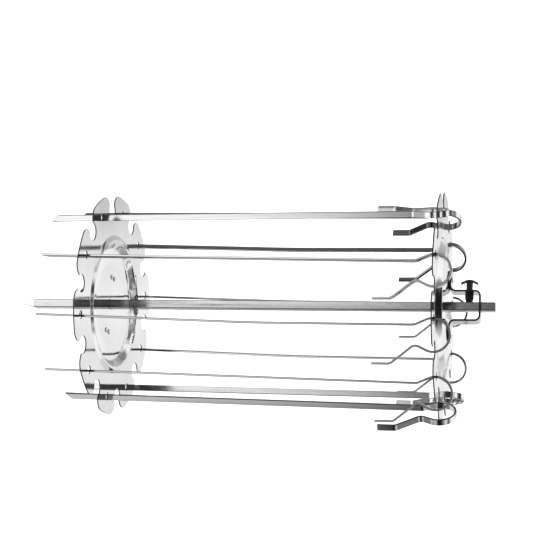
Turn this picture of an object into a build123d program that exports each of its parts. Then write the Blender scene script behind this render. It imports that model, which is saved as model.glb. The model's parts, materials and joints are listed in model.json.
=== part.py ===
"""Rotisserie skewer cage: a square spit, two notched discs and ten clip-handled flat skewers.

Millimetres, +Z up. The spit's axis is the X axis, and the origin is the centre of the
spit's square drive end, so everything else lies on the -X side of it. Angles round the
spit are measured from +Z towards -Y, which is a positive turn about +X.
"""
from build123d import *
import math
import os

# Spit
spit_side = 8.0
spit_length = 460.0
spit_edge_chamfer = 0.5
spit_point_length = 13.0
spit_point_taper = 13.5
spit_point_step = 0.2
spit_roll = -15.0

# Discs
disc_thickness = 1.2
disc_radius = 106.0
disc_spacing = 318.2
drive_overhang = 47.3
dish_depth = 4.8
wall_depth = 3.6
bead_height = 2.0
hub_flat_radius = 39.0
wall_foot_radius = 54.5
bead_inner_radius = 60.2
bead_outer_radius = 62.6
rim_inner_radius = 66.8
pressing_radius = 2.0
through_cut = 15.0
first_lobe_angle = 24.0

# Skewer holes and handle notches round the rim
skewer_count = 10
hole_circle_radius = 90.0
hole_radius = 3.75
pocket_radius = 8.2
pocket_centre_radius = 90.6
lobe_corner_radius = 12.0
neck_half_width = 5.5
neck_corner_radius = 1.5
hub_hole_side = 8.7
notch_overcut = 4.0
cusp_zone = (1.0, 6.0)
end_margin = 1.0

# Hub brackets
bracket_thickness = 1.8
bracket_width = 14.5
bracket_height = 33.4
leg_offset = 13.8
bracket_bend_radius = 4.5
foot_bend_radius = 5.0
foot_end = 33.0
foot_corner_radius = 3.0
rivet_offset = 26.5
rivet_pitch = 7.5
rivet_radius = 1.6
rivet_head_radius = 2.6
rivet_head_height = 0.9
rivet_head_taper = 35.0

# Clamp screws
screw_station = 23.4
screw_radius = 2.4
screw_tip_gap = 0.1
screw_tip_chamfer = 0.6
bush_flange_radius = 4.2
bush_flange_height = 0.7
bush_bulge_radius = 3.9
bush_bulge_length = 5.6
bush_barrel_radius = 3.2
bush_barrel_length = 8.6
screw_fit = 0.06
wing_neck_top = 22.2
wing_neck_radius = 2.9
wing_crown = 25.6
wing_droop = 3.6
wing_half_span = 7.8
wing_width = 5.0
wing_thickness = 1.4
wing_knuckle_reach = 0.45
wing_knuckle_fall = 0.42
wing_corner_radius = 0.5
wing_neck_gap = 0.4
wing_flare_taper = -25.0
wing_overlap = 0.3

# Skewers: flat strip, bent edge-on into a loop and a spring leg
strip_width = 6.0
strip_thickness = 2.0
tip_overhang = 41.7
shaft_drop = 5.65
bump_start = 16.0
loop_radius = 14.3
hump_station = 15.6
hump_drop = 22.4
tail_drop = 39.0
tail_bend_station = 36.5
tail_end_station = 52.6
bump_bend_radius = 6.0
hump_bend_radius = 6.0
tail_bend_radius = 6.0
handle_leans = (282.5, 166.5, 180.0, 178.0, 118.0, 252.0, 187.0, 182.0, 211.5, 244.5)
insertions = (8.0, 0.0, 0.0, 0.0, 0.0, 0.0, 0.0, 0.0, 0.0, 1.4)
shaft_bows = (0.3, -0.8, 2.0, 0.4, 0.3, 0.3, 2.0, 1.6, 2.0, 0.3)
bow_radius = 2500.0
seat_play = 0.1

right_disc_x = -drive_overhang
left_disc_x = right_disc_x - disc_spacing
lobe_pitch = 360.0 / skewer_count

os.makedirs("parts", exist_ok=True)


def save(piece, name):
    """Label one finished piece and write its STEP file."""
    piece.label = name
    export_step(piece, f"parts/{name}.step")


def about_spit(angle):
    """Unit vector across the spit at an angle from +Z towards -Y."""
    turn = math.radians(angle)
    return Vector(0, -math.sin(turn), math.cos(turn))


def radius_of(edge):
    """Distance of an edge's middle from the spit's axis."""
    middle = edge.center()
    return math.hypot(middle.Y, middle.Z)


# ---------------------------------------------------------------- spit rod
point_start = -spit_length + spit_point_length
point_base = spit_side - 2 * spit_point_step
with BuildPart() as spit:
    with BuildSketch(Plane.YZ.offset(point_start)) as rod_section:
        Rectangle(spit_side, spit_side, rotation=spit_roll)
        chamfer(rod_section.vertices(), spit_edge_chamfer)
    extrude(amount=-point_start)
    with BuildSketch(Plane.YZ.offset(point_start)):
        Rectangle(point_base, point_base, rotation=spit_roll)
    extrude(amount=-spit_point_length, taper=spit_point_taper)
save(spit.part, "spit_rod")


# ---------------------------------------------------------------- discs
def rivet_places():
    """Rivet centres (Y, Z): two side by side on each foot."""
    along = about_spit(spit_roll)
    across = about_spit(spit_roll + 90)
    places = []
    for end in (-1, 1):
        for side in (-1, 1):
            place = along * (end * rivet_offset) + across * (side * rivet_pitch / 2)
            places.append((place.Y, place.Z))
    return places


def dished_section(outward):
    """Half section of the pressed sheet, dished towards outward inside a raised bead."""
    outer_skin = [
        (dish_depth, 0),
        (dish_depth, hub_flat_radius),
        (wall_depth, wall_foot_radius),
        (-bead_height, bead_inner_radius),
        (-bead_height, bead_outer_radius),
        (0, rim_inner_radius),
        (0, disc_radius),
    ]
    half = disc_thickness / 2
    outer_side = [(outward * (x + half), radius) for x, radius in outer_skin]
    inner_side = [(outward * (x - half), radius) for x, radius in reversed(outer_skin)]
    return outer_side + inner_side


def notch_outline():
    """Keyhole notch at the top of the disc: round pocket, narrow neck, flared mouth."""
    corner_distance = disc_radius - lobe_corner_radius
    corner_x = lobe_corner_radius + neck_half_width
    corner_y = math.sqrt(corner_distance**2 - corner_x**2)
    rim_scale = disc_radius / corner_distance
    mouth = (corner_x * rim_scale, corner_y * rim_scale)
    beyond = disc_radius + notch_overcut
    middle = (math.atan2(corner_y, corner_x) + math.pi) / 2
    arc_middle = (
        corner_x + lobe_corner_radius * math.cos(middle),
        corner_y + lobe_corner_radius * math.sin(middle),
    )
    with BuildSketch() as notch:
        with BuildLine():
            ThreePointArc(mouth, arc_middle, (neck_half_width, corner_y))
            Line((neck_half_width, corner_y), (0, corner_y))
            Line((0, corner_y), (0, beyond))
            Line((0, beyond), (mouth[0], beyond))
            Line((mouth[0], beyond), mouth)
        make_face()
        mirror(about=Plane.YZ)
        with Locations((0, pocket_centre_radius)):
            Circle(pocket_radius)
        cusp_low, cusp_high = (corner_y + reach for reach in cusp_zone)
        cusps = notch.vertices().filter_by_position(Axis.Y, cusp_low, cusp_high)
        fillet(cusps, neck_corner_radius)
    return notch.sketch


def notched_disc(disc_x, outward):
    """One pressed disc with ten lobes, ten skewer holes and a square hub hole."""
    with BuildPart() as disc:
        with BuildSketch(Plane.XY) as section:
            with BuildLine():
                Polyline(*dished_section(outward), close=True)
            make_face()
            bend_limit = disc_radius - end_margin
            bends = section.vertices().filter_by_position(Axis.Y, end_margin, bend_limit)
            fillet(bends, pressing_radius)
        revolve(axis=Axis.X)
        with BuildSketch(Plane.YZ):
            with PolarLocations(0, skewer_count, start_angle=first_lobe_angle + lobe_pitch / 2):
                add(notch_outline())
            with PolarLocations(hole_circle_radius, skewer_count, start_angle=90 + first_lobe_angle):
                Circle(hole_radius)
            Rectangle(hub_hole_side, hub_hole_side, rotation=spit_roll)
            with Locations(*rivet_places()):
                Circle(rivet_radius)
        extrude(amount=through_cut, both=True, mode=Mode.SUBTRACT)
    return disc.part.moved(Location((disc_x, 0, 0)))


# ---------------------------------------------------------------- hub brackets
def bracket_plane(disc_x, outward):
    """Side-view plane of a bracket: X is away from the disc, Y is along the clamp screw."""
    screw_direction = about_spit(spit_roll)
    away = Vector(outward, 0, 0)
    return Plane(origin=(disc_x, 0, 0), x_dir=away, z_dir=away.cross(screw_direction))


def hub_bracket(disc_x, outward):
    """Bent strip with two feet on the disc, two legs and a web with a square hole."""
    foot_x = dish_depth + disc_thickness / 2 + bracket_thickness / 2
    half_line = [
        (foot_x, foot_end),
        (foot_x, leg_offset),
        (bracket_height, leg_offset),
    ]
    other_half = [(x, -height) for x, height in reversed(half_line)]
    bends = (foot_bend_radius, bracket_bend_radius, bracket_bend_radius, foot_bend_radius)
    side_view = bracket_plane(disc_x, outward)
    with BuildPart() as bracket:
        with BuildSketch(side_view):
            with BuildLine() as strip:
                FilletPolyline(*half_line, *other_half, radius=bends)
            trace(strip.wires()[0], line_width=bracket_thickness)
        extrude(amount=bracket_width / 2, both=True)
        with BuildSketch(Plane.YZ.offset(disc_x + outward * bracket_height)):
            Rectangle(hub_hole_side, hub_hole_side, rotation=spit_roll)
        extrude(amount=bracket_thickness, both=True, mode=Mode.SUBTRACT)
        screw_plane = Plane(
            origin=(disc_x + outward * screw_station, 0, 0), z_dir=about_spit(spit_roll)
        )
        with BuildSketch(screw_plane.offset(leg_offset)):
            Circle(bush_barrel_radius)
        extrude(amount=bracket_thickness, both=True, mode=Mode.SUBTRACT)
        end_edges = bracket.edges().filter_by(Axis.X)
        foot_corners = end_edges.filter_by(lambda edge: radius_of(edge) > foot_end - end_margin)
        fillet(foot_corners, foot_corner_radius)
        with BuildSketch(Plane.YZ.offset(disc_x + outward * foot_x)):
            with Locations(*rivet_places()):
                Circle(rivet_radius)
        extrude(amount=bracket_thickness, both=True, mode=Mode.SUBTRACT)
    return bracket.part


def foot_rivets(disc_x, outward):
    """Four round-headed rivets that hold the two feet to the disc."""
    inner_skin = disc_x + outward * (dish_depth - disc_thickness / 2)
    foot_top = disc_x + outward * (dish_depth + disc_thickness / 2 + bracket_thickness)
    with BuildPart() as rivets:
        with BuildSketch(Plane.YZ.offset(inner_skin)):
            with Locations(*rivet_places()):
                Circle(rivet_radius)
        extrude(amount=foot_top - inner_skin)
        for seat, direction in ((inner_skin, -outward), (foot_top, outward)):
            with BuildSketch(Plane.YZ.offset(seat)):
                with Locations(*rivet_places()):
                    Circle(rivet_head_radius)
            extrude(amount=direction * rivet_head_height, taper=rivet_head_taper)
    return rivets.part


# ---------------------------------------------------------------- clamp screws
def screw_plane_at(disc_x, outward, height):
    """Plane across the clamp screw's axis at a height above the spit's axis."""
    direction = about_spit(spit_roll)
    station = Vector(disc_x + outward * screw_station, 0, 0)
    return Plane(origin=station + direction * height, x_dir=(1, 0, 0), z_dir=direction)


def threaded_bush(disc_x, outward):
    """Blind rivet nut in the bracket's leg: flange, crimped bulge and barrel."""
    leg_outside = leg_offset + bracket_thickness / 2
    leg_inside = leg_offset - bracket_thickness / 2
    with BuildPart() as bush:
        with BuildSketch(screw_plane_at(disc_x, outward, leg_outside)):
            Circle(bush_flange_radius)
        extrude(amount=bush_flange_height)
        with BuildSketch(screw_plane_at(disc_x, outward, leg_inside)):
            Circle(bush_bulge_radius)
        extrude(amount=-bush_bulge_length)
        with BuildSketch(screw_plane_at(disc_x, outward, leg_outside)):
            Circle(bush_barrel_radius)
        extrude(amount=-bracket_thickness - bush_barrel_length)
        with BuildSketch(screw_plane_at(disc_x, outward, 0)):
            Circle(screw_radius + screw_fit)
        extrude(amount=2 * leg_offset, mode=Mode.SUBTRACT)
    return bush.part


def clamp_screw(disc_x, outward):
    """Plain shank with a chamfered tip that bears on the spit."""
    tip_height = spit_side / 2 + screw_tip_gap
    with BuildPart() as screw:
        with BuildSketch(screw_plane_at(disc_x, outward, tip_height)):
            Circle(screw_radius)
        extrude(amount=wing_neck_top - tip_height)
        tip_face = screw.faces().filter_by(GeomType.PLANE).sort_by(Axis.Z)[0]
        chamfer(tip_face.edges(), screw_tip_chamfer)
    return screw.part


def wing_head(disc_x, outward):
    """Drooping wing on a round neck, moulded over the top of the screw."""
    axis_plane = screw_plane_at(disc_x, outward, 0)
    side_view = Plane(origin=axis_plane.origin, x_dir=(1, 0, 0), z_dir=-axis_plane.y_dir)
    leg_outside = leg_offset + bracket_thickness / 2
    neck_bottom = leg_outside + bush_flange_height + wing_neck_gap
    tip_height = wing_crown - wing_droop
    knuckle_station = wing_half_span * wing_knuckle_reach
    knuckle_height = wing_crown - wing_droop * wing_knuckle_fall
    with BuildPart() as head:
        with BuildSketch(side_view):
            with BuildLine() as droop:
                Spline(
                    (-wing_half_span, tip_height),
                    (-knuckle_station, knuckle_height),
                    (0, wing_crown - wing_thickness / 2),
                    (knuckle_station, knuckle_height),
                    (wing_half_span, tip_height),
                )
            trace(droop.wires()[0], line_width=wing_thickness)
        extrude(amount=wing_width / 2, both=True)
        wing_corners = head.edges().filter_by(GeomType.LINE).group_by(SortBy.LENGTH)[0]
        fillet(wing_corners, wing_corner_radius)
        with BuildSketch(screw_plane_at(disc_x, outward, neck_bottom)):
            Circle(wing_neck_radius)
        extrude(amount=wing_neck_top - neck_bottom)
        with BuildSketch(screw_plane_at(disc_x, outward, wing_neck_top)):
            Circle(wing_neck_radius)
        flare_height = wing_crown - wing_thickness + wing_overlap - wing_neck_top
        extrude(amount=flare_height, taper=wing_flare_taper)
        with BuildSketch(screw_plane_at(disc_x, outward, 0)):
            Circle(screw_radius)
        extrude(amount=wing_neck_top, mode=Mode.SUBTRACT)
    return head.part


for side, disc_x, outward in (("left", left_disc_x, -1), ("right", right_disc_x, 1)):
    save(notched_disc(disc_x, outward), f"{side}_disc")
    save(hub_bracket(disc_x, outward), f"{side}_hub_bracket")
    save(foot_rivets(disc_x, outward), f"{side}_bracket_rivets")
    save(threaded_bush(disc_x, outward), f"{side}_threaded_bush")
    save(clamp_screw(disc_x, outward), f"{side}_clamp_screw")
    save(wing_head(disc_x, outward), f"{side}_wing_head")


# ---------------------------------------------------------------- skewers
def tangent_point(outside, turn_sign):
    """Where a line from an outside point (X, drop) touches the loop's circle."""
    centre = (0.0, loop_radius)
    across = centre[0] - outside[0]
    down = centre[1] - outside[1]
    distance = math.hypot(across, down)
    reach = math.sqrt(distance**2 - loop_radius**2)
    heading = math.atan2(down, across) + turn_sign * math.asin(loop_radius / distance)
    return (outside[0] + reach * math.cos(heading), outside[1] + reach * math.sin(heading))


def resting_drop(handle_lean):
    """How far a strip sinks below the hole's centre until a corner meets the hole's edge."""
    thin = about_spit(handle_lean) * (strip_thickness / 2)
    wide = about_spit(handle_lean + 90) * (strip_width / 2)
    reach = hole_radius - seat_play
    drops = []
    for corner in (thin + wide, thin - wide, wide - thin, -thin - wide):
        drops.append(corner.Z + math.sqrt(reach**2 - corner.Y**2))
    return min(drops)


def seated_plane(hole_angle, handle_lean, insertion):
    """Side-view plane of a skewer that rests in its left hole, pushed in by the insertion."""
    hole = about_spit(hole_angle) * hole_circle_radius + Vector(right_disc_x, 0, 0)
    rest = hole + Vector(-disc_spacing, 0, -resting_drop(handle_lean))
    level = (hole - rest).normalized()
    lean = about_spit(handle_lean)
    drop = (lean - level * lean.dot(level)).normalized()
    lift = loop_radius - math.sqrt(loop_radius**2 - insertion**2)
    tilt = math.atan((lift - shaft_slope * insertion) / disc_spacing)
    along = level * math.cos(tilt) - drop * math.sin(tilt)
    across = level * math.sin(tilt) + drop * math.cos(tilt)
    origin = hole - along * insertion - across * lift
    return Plane(origin=origin, x_dir=along, z_dir=along.cross(across))


def skewer(hole_angle, handle_lean, insertion, bow):
    """Flat skewer through both discs, its strip bent into a loop and a spring leg."""
    bump = (-bump_start, shaft_drop)
    middle = (-disc_spacing / 2, shaft_slope * disc_spacing / 2 + bow)
    tip_drop = -tip_overhang * middle[1] / (disc_spacing / 2)
    tip = (-disc_spacing - tip_overhang, tip_drop)
    hump = (-hump_station, hump_drop)
    loop_entry = tangent_point(bump, -1)
    loop_exit = tangent_point(hump, 1)
    tail_bend = (-tail_bend_station, tail_drop)
    tail_end = (-tail_end_station, tail_drop)
    side_view = seated_plane(hole_angle, handle_lean, insertion)
    with BuildPart() as blade:
        with BuildSketch(side_view):
            with BuildLine() as strip:
                FilletPolyline(
                    tip, middle, bump, loop_entry, radius=(bow_radius, bump_bend_radius)
                )
                ThreePointArc(loop_entry, (loop_radius, loop_radius), loop_exit)
                FilletPolyline(
                    loop_exit, hump, tail_bend, tail_end, radius=(hump_bend_radius, tail_bend_radius)
                )
            trace(strip.wires()[0], line_width=strip_thickness)
        extrude(amount=strip_width / 2, both=True)
        long_edge = side_view.origin + side_view.x_dir * tip[0] - side_view.z_dir * (strip_width / 2)
        cut_normal = (side_view.z_dir - side_view.x_dir).normalized()
        split(bisect_by=Plane(origin=long_edge, z_dir=cut_normal), keep=Keep.BOTTOM)
    return blade.part


shaft_slope = shaft_drop / (disc_spacing - bump_start)
for number in range(skewer_count):
    hole_angle = first_lobe_angle + number * lobe_pitch
    blade = skewer(hole_angle, handle_leans[number], insertions[number], shaft_bows[number])
    save(blade, f"skewer_{number + 1:02d}")
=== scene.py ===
"""Looks for the rotisserie skewer cage: metals, studio, light and camera round the CAD frame."""
import json
import math
import operator

import bmesh
import bpy
from mathutils import Matrix, Vector


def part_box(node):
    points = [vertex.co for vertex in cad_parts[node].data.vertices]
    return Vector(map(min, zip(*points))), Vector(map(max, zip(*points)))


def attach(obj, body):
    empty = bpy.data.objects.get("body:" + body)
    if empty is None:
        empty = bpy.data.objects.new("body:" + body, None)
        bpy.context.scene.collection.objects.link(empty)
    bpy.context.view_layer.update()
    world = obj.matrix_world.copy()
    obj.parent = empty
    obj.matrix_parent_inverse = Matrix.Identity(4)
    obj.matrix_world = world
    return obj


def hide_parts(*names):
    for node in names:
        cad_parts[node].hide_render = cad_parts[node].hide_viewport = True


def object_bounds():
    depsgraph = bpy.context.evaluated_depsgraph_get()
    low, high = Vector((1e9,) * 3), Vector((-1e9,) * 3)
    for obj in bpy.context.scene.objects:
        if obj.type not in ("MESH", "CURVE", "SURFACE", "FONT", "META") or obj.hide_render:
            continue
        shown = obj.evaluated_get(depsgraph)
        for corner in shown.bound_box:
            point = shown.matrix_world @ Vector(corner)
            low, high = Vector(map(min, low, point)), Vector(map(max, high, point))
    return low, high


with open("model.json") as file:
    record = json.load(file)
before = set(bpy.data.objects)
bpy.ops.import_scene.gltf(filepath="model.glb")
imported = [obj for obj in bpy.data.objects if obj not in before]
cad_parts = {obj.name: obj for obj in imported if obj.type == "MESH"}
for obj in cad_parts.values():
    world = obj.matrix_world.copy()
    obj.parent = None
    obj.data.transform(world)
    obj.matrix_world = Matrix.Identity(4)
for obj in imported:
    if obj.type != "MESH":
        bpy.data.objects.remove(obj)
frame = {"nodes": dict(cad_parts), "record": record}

SIDES = ("left", "right")
SKEWERS = sorted(name for name in frame["nodes"] if name.startswith("skewer_"))
object_low, object_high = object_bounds()
FLOOR_GAP = 0.22
FLOOR_HEIGHT = object_low.z - FLOOR_GAP


# ---------------------------------------------------------------- node helpers
class Recipe:
    """A small wrapper that adds and joins shader nodes in one material."""

    def __init__(self, name):
        self.material = bpy.data.materials.new(name)
        self.material.use_nodes = True
        self.nodes = self.material.node_tree.nodes
        self.links = self.material.node_tree.links
        self.shader = self.nodes["Principled BSDF"]
        self.place = self.add("ShaderNodeTexCoord").outputs["Object"]

    def add(self, kind, **settings):
        node = self.nodes.new(kind)
        for key, value in settings.items():
            setattr(node, key, value)
        return node

    def feed(self, source, target):
        if hasattr(source, "is_output"):
            self.links.new(source, target)
        else:
            target.default_value = source

    def stretched(self, scale):
        mapping = self.add("ShaderNodeMapping")
        self.feed(self.place, mapping.inputs["Vector"])
        mapping.inputs["Scale"].default_value = scale
        return mapping.outputs["Vector"]

    def noise(self, scale, size=1.0, detail=3.0, rough=0.5):
        texture = self.add("ShaderNodeTexNoise")
        self.feed(self.stretched(scale), texture.inputs["Vector"])
        texture.inputs["Scale"].default_value = size
        texture.inputs["Detail"].default_value = detail
        texture.inputs["Roughness"].default_value = rough
        return texture.outputs["Fac"]

    def spread(self, source, low, high, start=0.3, end=0.7):
        """Maps source from start..end onto low..high."""
        node = self.add("ShaderNodeMapRange")
        self.feed(source, node.inputs["Value"])
        node.inputs["From Min"].default_value = start
        node.inputs["From Max"].default_value = end
        node.inputs["To Min"].default_value = low
        node.inputs["To Max"].default_value = high
        return node.outputs["Result"]

    def math(self, operation, first, second=0.0):
        node = self.add("ShaderNodeMath", operation=operation)
        self.feed(first, node.inputs[0])
        self.feed(second, node.inputs[1])
        return node.outputs[0]

    def grey(self, source, tint=(1.0, 1.0, 1.0)):
        """A grey level times a tint, as a colour."""
        node = self.add("ShaderNodeCombineColor")
        for channel, part in zip(("Red", "Green", "Blue"), tint):
            self.feed(self.math("MULTIPLY", source, part), node.inputs[channel])
        return node.outputs["Color"]

    def bump(self, height, distance, before=None):
        node = self.add("ShaderNodeBump")
        self.feed(height, node.inputs["Height"])
        node.inputs["Distance"].default_value = distance
        if before is not None:
            self.feed(before, node.inputs["Normal"])
        return node.outputs["Normal"]

    def finish(self, colour, roughness, normal=None, metallic=1.0):
        self.feed(colour, self.shader.inputs["Base Color"])
        self.feed(roughness, self.shader.inputs["Roughness"])
        self.shader.inputs["Metallic"].default_value = metallic
        if normal is not None:
            self.feed(normal, self.shader.inputs["Normal"])
        return self.material


# ---------------------------------------------------------------- materials
def polished_sheet():
    """Mirror-polished stainless sheet: faint polishing rings, smudges and a slight oil-can wave."""
    mix = Recipe("polished_sheet")
    apart = mix.add("ShaderNodeSeparateXYZ")
    mix.feed(mix.place, apart.inputs["Vector"])
    squares = [mix.math("POWER", apart.outputs[name], 2.0) for name in ("Y", "Z")]
    radius = mix.math("SQRT", mix.math("ADD", *squares))
    rings = mix.add("ShaderNodeTexNoise", noise_dimensions="1D")
    mix.feed(mix.math("MULTIPLY", radius, 1800.0), rings.inputs["W"])
    rings.inputs["Detail"].default_value = 4.0
    smudges = mix.noise((1, 1, 1), 22.0, 4.0, 0.6)
    colour = mix.grey(mix.spread(smudges, 0.74, 0.82), (1.0, 1.0, 0.995))
    fine = mix.spread(rings.outputs["Fac"], 0.0, 0.03)
    roughness = mix.math("ADD", mix.spread(smudges, 0.03, 0.09), fine)
    wave = mix.noise((1, 1, 1), 9.0, 1.0)
    normal = mix.bump(wave, 0.0012)
    normal = mix.bump(rings.outputs["Fac"], 0.000004, before=normal)
    return mix.finish(colour, roughness, normal)


def rolled_strip():
    """Cold-rolled stainless strip: fine lengthwise grain with duller patches."""
    mix = Recipe("rolled_strip")
    grain = mix.noise((14.0, 2600.0, 2600.0), 1.0, 4.0, 0.6)
    patches = mix.noise((18.0, 60.0, 60.0), 1.0, 3.0)
    colour = mix.grey(mix.spread(grain, 0.68, 0.82), (1.0, 1.0, 0.99))
    roughness = mix.math("ADD", mix.spread(grain, 0.07, 0.15), mix.spread(patches, 0.0, 0.05))
    normal = mix.bump(grain, 0.00001)
    return mix.finish(colour, roughness, normal)


def drawn_bar():
    """Drawn square bar: lengthwise scratches and a few darker rub marks."""
    mix = Recipe("drawn_bar")
    scratches = mix.noise((9.0, 1900.0, 1900.0), 1.0, 5.0, 0.65)
    rubs = mix.noise((30.0, 90.0, 90.0), 1.0, 4.0, 0.6)
    shade = mix.math("SUBTRACT", mix.spread(scratches, 0.56, 0.70), mix.spread(rubs, 0.0, 0.10, 0.55, 0.75))
    colour = mix.grey(shade, (1.0, 0.995, 0.985))
    roughness = mix.math("ADD", mix.spread(scratches, 0.06, 0.14), mix.spread(rubs, 0.0, 0.08))
    normal = mix.bump(scratches, 0.000014)
    return mix.finish(colour, roughness, normal)


def bracket_strip():
    """Bright bent strip: smooth, with brushed streaks that run along the bend."""
    mix = Recipe("bracket_strip")
    streaks = mix.noise((60.0, 1400.0, 200.0), 1.0, 4.0, 0.6)
    colour = mix.grey(mix.spread(streaks, 0.66, 0.76))
    roughness = mix.spread(streaks, 0.12, 0.24)
    return mix.finish(colour, roughness, mix.bump(streaks, 0.000006))


def edge_painted_shade(name, low, high):
    """Sheared or rolled-over edge: duller than the faces, with fine tear marks; its darker, near-black
    colour is painted shade on edges and hole walls.
    """
    mix = Recipe(name)
    tears = mix.noise((900.0, 900.0, 900.0), 1.0, 3.0)
    # Painted shade: grey 0.05-0.14 on full metal keeps these edges near black under any light.
    shade = mix.grey(mix.spread(tears, low, high), (1.0, 0.99, 0.98))
    return mix.finish(shade, mix.spread(tears, 0.26, 0.40), mix.bump(tears, 0.00002))


def rivet_metal():
    """Pressed rivet heads: bright, dimpled by the snap."""
    mix = Recipe("rivet_metal")
    dimples = mix.noise((1, 1, 1), 900.0, 3.0)
    colour = mix.grey(mix.spread(dimples, 0.58, 0.70))
    return mix.finish(colour, mix.spread(dimples, 0.18, 0.32), mix.bump(dimples, 0.00003))


def black_oxide():
    """Blackened steel: satin, slightly brown where it has rubbed through."""
    mix = Recipe("black_oxide")
    grit = mix.noise((1, 1, 1), 1600.0, 3.0)
    wear = mix.noise((1, 1, 1), 260.0, 4.0, 0.6)
    shade = mix.math("ADD", mix.spread(grit, 0.030, 0.050), mix.spread(wear, 0.0, 0.05, 0.56, 0.72))
    colour = mix.grey(shade, (1.0, 0.96, 0.92))
    return mix.finish(colour, mix.spread(grit, 0.30, 0.46), mix.bump(grit, 0.00002), metallic=0.75)


def black_enamel():
    """Baked black coating on the wing heads: semi-gloss with slight orange peel."""
    mix = Recipe("black_enamel")
    peel = mix.noise((1, 1, 1), 700.0, 2.0)
    dust = mix.noise((1, 1, 1), 150.0, 3.0)
    colour = mix.grey(mix.spread(dust, 0.018, 0.032))
    return mix.finish(colour, mix.spread(dust, 0.26, 0.40), mix.bump(peel, 0.00003), metallic=0.0)


# ---------------------------------------------------------------- pieces
WELD_DISTANCE = 1e-6
FLAT_ANGLE = math.radians(0.6)
SPIT_AXIS = Vector((1, 0, 0))
BODIES = {node: body for body, nodes in frame["record"]["behaviour"]["bodies"].items() for node in nodes}


def settle(piece, node, *materials):
    """Puts a piece in the scene in place of a CAD node, on the node's body and materials."""
    for number, material in enumerate(materials):
        if number < len(piece.data.materials):
            piece.data.materials[number] = material
        else:
            piece.data.materials.append(material)
    if piece.name not in bpy.context.scene.collection.objects:
        bpy.context.scene.collection.objects.link(piece)
    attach(piece, BODIES[node])
    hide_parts(node)
    return piece


def edged(node, material, width, segments, edge_material, cut_along=None, cut_limit=1.0, sharp=32.0):
    """The CAD node's own shape, edges rounded. Edges and faces cut across the sheet get edge_material,
    which on the bright metals is near-black painted shade.
    """
    work = bmesh.new()
    work.from_mesh(frame["nodes"][node].data)
    bmesh.ops.remove_doubles(work, verts=work.verts, dist=WELD_DISTANCE)
    bmesh.ops.dissolve_degenerate(work, dist=WELD_DISTANCE, edges=work.edges)
    bmesh.ops.dissolve_limit(
        work, angle_limit=FLAT_ANGLE, verts=work.verts, edges=work.edges, delimit={"NORMAL"}
    )
    for face in work.faces:
        face.smooth = True
        face.material_index = 0
        if cut_along is not None and cut_along[1](abs(face.normal.dot(cut_along[0])), cut_limit):
            face.material_index = 1
    clean = bpy.data.meshes.new(f"{node}_piece")
    work.to_mesh(clean)
    work.free()
    clean.materials.append(None)
    clean.materials.append(None)
    piece = bpy.data.objects.new(f"{node}_piece", clean)
    bpy.context.scene.collection.objects.link(piece)
    bevel = piece.modifiers.new("edges", "BEVEL")
    bevel.width = width
    bevel.segments = segments
    bevel.limit_method = "ANGLE"
    bevel.angle_limit = math.radians(sharp)
    bevel.use_clamp_overlap = False
    bevel.material = 1
    weighted = piece.modifiers.new("flats", "WEIGHTED_NORMAL")
    weighted.weight = 100
    weighted.keep_sharp = True
    view_layer = bpy.context.evaluated_depsgraph_get()
    applied = bpy.data.meshes.new_from_object(piece.evaluated_get(view_layer))
    piece.modifiers.clear()
    piece.data = applied
    return settle(piece, node, material, edge_material)


def travel_axis(side):
    """The direction in which a side's clamp screw travels."""
    joints = frame["record"]["behaviour"]["joints"]
    return Vector(next(row["axis"] for row in joints if row["name"] == f"{side}_screw_travel")).normalized()


def threaded_shank(side, material):
    """Clamp screw with its thread cut: one helical groove and a chamfered tip."""
    node = f"{side}_clamp_screw"
    axis = travel_axis(side)
    low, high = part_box(node)
    centre_x = (low.x + high.x) / 2
    heights = [axis.dot(vertex.co) for vertex in frame["nodes"][node].data.vertices]
    bottom, top = min(heights), max(heights)
    across = axis.cross(SPIT_AXIS)
    crest, depth, pitch, around, rows = 0.0024, 0.00042, 0.0008, 28, 8
    flank, root_flat = 1.35, 0.1
    lead_in, tip_ratio = 0.0006, 0.76
    count = int((top - bottom) / pitch * rows)
    rings = []
    work = bmesh.new()
    for row in range(count + 1):
        height = bottom + (top - bottom) * row / count
        ease = min(1.0, (height - bottom) / lead_in)
        ring = []
        for step in range(around):
            turn = 2 * math.pi * step / around
            phase = ((height - bottom) / pitch - step / around) % 1.0
            groove = max(0.0, min(1.0, flank * (1 - abs(2 * phase - 1)) - root_flat))
            radius = (crest - depth * groove) * (tip_ratio + (1 - tip_ratio) * ease)
            point = SPIT_AXIS * centre_x + axis * height
            point += (SPIT_AXIS * math.cos(turn) + across * math.sin(turn)) * radius
            ring.append(work.verts.new(point))
        rings.append(ring)
    for lower, upper in zip(rings, rings[1:]):
        for step in range(around):
            after = (step + 1) % around
            work.faces.new((lower[step], lower[after], upper[after], upper[step])).smooth = True
    work.faces.new(list(reversed(rings[0])))
    work.faces.new(rings[-1])
    bmesh.ops.recalc_face_normals(work, faces=work.faces)
    mesh = bpy.data.meshes.new(f"{node}_piece")
    work.to_mesh(mesh)
    work.free()
    return settle(bpy.data.objects.new(f"{node}_piece", mesh), node, material)


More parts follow.
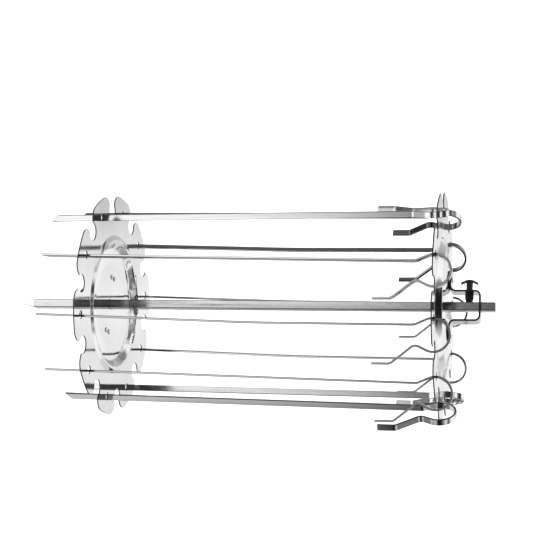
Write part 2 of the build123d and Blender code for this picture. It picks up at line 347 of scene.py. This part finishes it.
strip_side = SPIT_AXIS.cross(travel_axis("right")).normalized()
# Near-black edge materials: painted shade on the rounded edges and hole walls of discs, brackets, skewers
# and spit, standing in for dark edge reflections and the shadow where skewers pass through the holes.
sheared_painted_shade = edge_painted_shade("sheared_edge_painted_shade", 0.05, 0.11)
rolled_painted_shade = edge_painted_shade("rolled_edge_painted_shade", 0.06, 0.14)
oxide = black_oxide()
enamel = black_enamel()
rivets = rivet_metal()
EDGES = {
    "disc": (polished_sheet(), 0.00022, 2, sheared_painted_shade, (SPIT_AXIS, operator.lt), 0.3),
    "hub_bracket": (bracket_strip(), 0.00030, 3, sheared_painted_shade, (strip_side, operator.gt), 0.9),
    "bracket_rivets": (rivets, 0.00042, 4, rivets),
    "threaded_bush": (oxide, 0.00025, 2, oxide),
    "wing_head": (enamel, 0.00035, 3, enamel),
}
for side in SIDES:
    for part, settings in EDGES.items():
        edged(f"{side}_{part}", *settings)
    threaded_shank(side, oxide)
strip_metal = rolled_strip()
for skewer in SKEWERS:
    edged(skewer, strip_metal, 0.00045, 3, rolled_painted_shade)
edged("spit_rod", drawn_bar(), 0.00020, 2, rolled_painted_shade, sharp=20.0)


# ---------------------------------------------------------------- studio
# WORLD_LEVEL scales what the metal mirrors. BACKDROP_LEVEL is what the camera sees past the floor.
WORLD_LEVEL = 1.4
BACKDROP_LEVEL = 0.62
# Light levels from straight down (-1) to straight up (1), in front and behind.
FRONT_BAND = [
    (-1.0, 0.04), (-0.9, 0.14), (-0.8, 0.46), (-0.6, 0.74), (-0.4, 0.9), (-0.15, 0.6),
    (0.0, 0.5), (0.3, 0.7), (0.5, 0.84), (0.6, 0.53), (0.7, 0.10), (1.0, 0.05),
]
BACK_BAND = [
    (-1.0, 0.1), (-0.85, 0.15), (-0.6, 0.3), (-0.5, 0.55), (-0.2, 0.62), (-0.09, 0.66), (-0.03, 0.70),
    (0.0, 0.78), (0.045, 0.66), (0.08, 0.50), (0.2, 0.46), (0.4, 0.40), (0.85, 0.08), (1.0, 0.08),
]
# Light levels across the front, by leftness: distance to the left over distance to the front.
GAP = [
    (-8.0, 0.05), (-5.0, 0.3), (-3.5, 1.2), (-2.0, 1.2), (-1.2, 0.5), (-0.6, 0.05), (0.03, 0.01),
    (0.07, 0.03), (0.11, 0.30), (0.14, 0.60), (0.2, 0.86), (0.26, 1.08), (0.4, 1.12), (0.8, 1.12),
    (1.4, 0.5), (1.9, 0.5), (2.2, 1.1), (3.2, 1.0), (5.0, 0.15),
]
LEAST_DEPTH = 0.1
# Below this height the levels across the front shift to the right, by this much per unit of depth.
SINK_START, SINK_SHIFT = 0.45, 0.48
# How the front gives way to the back, by Y.
FACING = [(-0.25, 0.0), (0.25, 1.0)]
# A white card beyond the drive end, from facing back (0) to facing the end (1).
RIGHT_CARD = [(0.0, 0.0), (0.5, 0.0), (0.66, 0.8), (1.0, 0.9)]
CARD_EDGE = [(0.03, 0.0), (0.2, 1.0)]
# Black flags beyond both ends, clear of the middle: their centre and reach in (Y, Z), how much taller the
# far one is, and how they shade outwards.
FLAG_CENTRE = (0.14, 0.02)
FLAG_REACH = (0.30, 0.36)
FLAG_STRETCH = 0.26
FLAG_CLEAR, FLAG_FADE = 0.3, 20.0
FLAG = [(0.0, 0.02), (0.6, 0.04), (1.0, 0.6), (1.3, 1.0)]


def studio_card():
    """Matt near-white card with a faint mottle."""
    mix = Recipe("studio_card")
    mottle = mix.noise((1, 1, 1), 3.0, 2.0)
    return mix.finish(mix.grey(mix.spread(mottle, 0.94, 0.95)), 0.9, metallic=0.0)


def sweep_floor():
    """Floor that curves up into a backdrop behind the object."""
    width, front, back, height, bend = 6.0, -2.6, 2.2, 3.4, 0.9
    profile = [(front, 0.0)]
    for step in range(13):
        turn = math.radians(90.0 * step / 12)
        profile.append((back - bend + bend * math.sin(turn), bend - bend * math.cos(turn)))
    profile.append((back, height))
    centre = (object_low.x + object_high.x) / 2
    mesh = bpy.data.meshes.new("studio_sweep")
    points = [(centre + side * width / 2, y, FLOOR_HEIGHT + z) for y, z in profile for side in (-1, 1)]
    faces = [(2 * i, 2 * i + 1, 2 * i + 3, 2 * i + 2) for i in range(len(profile) - 1)]
    mesh.from_pydata(points, [], faces)
    for face in mesh.polygons:
        face.use_smooth = True
    sweep = bpy.data.objects.new("studio_sweep", mesh)
    bpy.context.scene.collection.objects.link(sweep)
    mesh.materials.append(studio_card())
    return sweep


def area_light(name, place, target, size, power):
    light = bpy.data.lights.new(name, "AREA")
    light.shape = "RECTANGLE"
    light.size, light.size_y = size
    light.energy = power
    lamp = bpy.data.objects.new(name, light)
    lamp.location = place
    lamp.rotation_mode = "QUATERNION"
    lamp.rotation_quaternion = (Vector(target) - Vector(place)).to_track_quat("-Z", "Y")
    bpy.context.scene.collection.objects.link(lamp)
    return lamp


def ramp_of(nodes, links, source, low, high, stops):
    """Smooth curve through (position, level) stops, for a source that runs from low to high."""
    reach = nodes.new("ShaderNodeMapRange")
    links.new(source, reach.inputs["Value"])
    reach.inputs["From Min"].default_value = low
    reach.inputs["From Max"].default_value = high
    ramp = nodes.new("ShaderNodeValToRGB")
    ramp.color_ramp.interpolation = "EASE"
    elements = ramp.color_ramp.elements
    while len(elements) > 1:
        elements.remove(elements[-1])
    for number, (place, level) in enumerate(stops):
        spot = (place - low) / (high - low)
        element = elements[0] if number == 0 else elements.new(spot)
        element.position = spot
        element.color = (level, level, level, 1)
    links.new(reach.outputs["Result"], ramp.inputs["Fac"])
    return ramp.outputs["Color"]


def studio_world():
    """What the metal mirrors: bright cards, dark above, a dark gap in front. The camera sees it plain."""
    world = bpy.data.worlds.new("studio_world")
    bpy.context.scene.world = world
    world.use_nodes = True
    nodes, links = world.node_tree.nodes, world.node_tree.links

    def combine(operation, first, second=0.0):
        node = nodes.new("ShaderNodeMath")
        node.operation = operation
        for value, socket in ((first, node.inputs[0]), (second, node.inputs[1])):
            if hasattr(value, "is_output"):
                links.new(value, socket)
            else:
                socket.default_value = value
        return node.outputs[0]

    place = nodes.new("ShaderNodeTexCoord").outputs["Generated"]
    apart = nodes.new("ShaderNodeSeparateXYZ")
    links.new(place, apart.inputs["Vector"])
    x, y, z = apart.outputs
    front_band = ramp_of(nodes, links, z, -1.0, 1.0, FRONT_BAND)
    back_band = ramp_of(nodes, links, z, -1.0, 1.0, BACK_BAND)
    depth = combine("MAXIMUM", combine("ABSOLUTE", y), LEAST_DEPTH)
    leftness = combine("DIVIDE", combine("MULTIPLY", x, -1.0), depth)
    sunk = combine("MAXIMUM", combine("SUBTRACT", combine("MULTIPLY", z, -1.0), SINK_START), 0.0)
    leftness = combine("SUBTRACT", leftness, combine("MULTIPLY", sunk, SINK_SHIFT))
    gap = ramp_of(nodes, links, leftness, GAP[0][0], GAP[-1][0], GAP)
    front = combine("MULTIPLY", front_band, gap)
    facing = ramp_of(nodes, links, y, -1.0, 1.0, FACING)
    mix = nodes.new("ShaderNodeMix")
    links.new(facing, mix.inputs["Factor"])
    links.new(front, mix.inputs["A"])
    links.new(back_band, mix.inputs["B"])
    beside = combine("DIVIDE", combine("SUBTRACT", y, FLAG_CENTRE[0]), FLAG_REACH[0])
    far_end = combine("MAXIMUM", combine("MULTIPLY", x, -FLAG_STRETCH), 0.0)
    height = combine("ADD", far_end, FLAG_REACH[1])
    above = combine("DIVIDE", combine("SUBTRACT", z, FLAG_CENTRE[1]), height)
    away = combine("ADD", combine("MULTIPLY", beside, beside), combine("MULTIPLY", above, above))
    inside = combine("MAXIMUM", combine("SUBTRACT", FLAG_CLEAR, combine("ABSOLUTE", x)), 0.0)
    away = combine("ADD", away, combine("MULTIPLY", inside, FLAG_FADE))
    flag = ramp_of(nodes, links, away, 0.0, 2.0, FLAG)
    shaded = nodes.new("ShaderNodeMix")
    shaded.data_type = "RGBA"
    shaded.blend_type = "MULTIPLY"
    shaded.inputs["Factor"].default_value = 1.0
    card_face = ramp_of(nodes, links, x, 0.0, 1.0, RIGHT_CARD)
    card = combine("MULTIPLY", card_face, ramp_of(nodes, links, y, -1.0, 1.0, CARD_EDGE))
    links.new(combine("MAXIMUM", mix.outputs["Result"], card), shaded.inputs["A"])
    links.new(flag, shaded.inputs["B"])
    seen = nodes.new("ShaderNodeMix")
    seen.data_type = "RGBA"
    links.new(nodes.new("ShaderNodeLightPath").outputs["Is Camera Ray"], seen.inputs["Factor"])
    links.new(shaded.outputs["Result"], seen.inputs["A"])
    seen.inputs["B"].default_value = (BACKDROP_LEVEL, BACKDROP_LEVEL, BACKDROP_LEVEL, 1.0)
    background = nodes["Background"]
    links.new(seen.outputs["Result"], background.inputs["Color"])
    background.inputs["Strength"].default_value = WORLD_LEVEL


stage_floor = sweep_floor()
stage_floor.visible_glossy = False
studio_world()
middle = (object_low + object_high) / 2
for lamp in (
    area_light("overhead", (middle.x, 0.1, 1.9), middle, (2.2, 1.4), 40),
    area_light("backdrop_wash", (middle.x, 0.9, 1.7), (middle.x, 2.0, 0.4), (2.4, 0.8), 40),
):
    lamp.visible_glossy = False
area_light("left_fill", (middle.x - 1.7, -1.2, 0.7), middle, (1.2, 1.2), 5)


# ---------------------------------------------------------------- camera
def photo_camera():
    """Level with the spit's axis, beyond the drive end, looking a little to the left."""
    camera = bpy.data.objects.new("camera", bpy.data.cameras.new("camera"))
    yaw, pitch, roll = 0.2325, 0.0303, 0.0081
    forward = Vector((-math.sin(yaw) * math.cos(pitch), math.cos(yaw) * math.cos(pitch), math.sin(pitch)))
    level_right = Vector((math.cos(yaw), math.sin(yaw), 0.0))
    level_up = level_right.cross(forward)
    right = math.cos(roll) * level_right + math.sin(roll) * level_up
    up = math.cos(roll) * level_up - math.sin(roll) * level_right
    turn = Matrix((right, up, -forward)).transposed()
    camera.rotation_mode = "QUATERNION"
    camera.rotation_quaternion = turn.to_quaternion()
    camera.location = (0.0670, -1.1863, 0.0)
    camera.data.sensor_width = 36.0
    camera.data.lens = 87.11
    camera.data.clip_start = 0.01
    bpy.context.scene.collection.objects.link(camera)
    bpy.context.scene.camera = camera


photo_camera()
bpy.context.scene.view_settings.view_transform = "Standard"
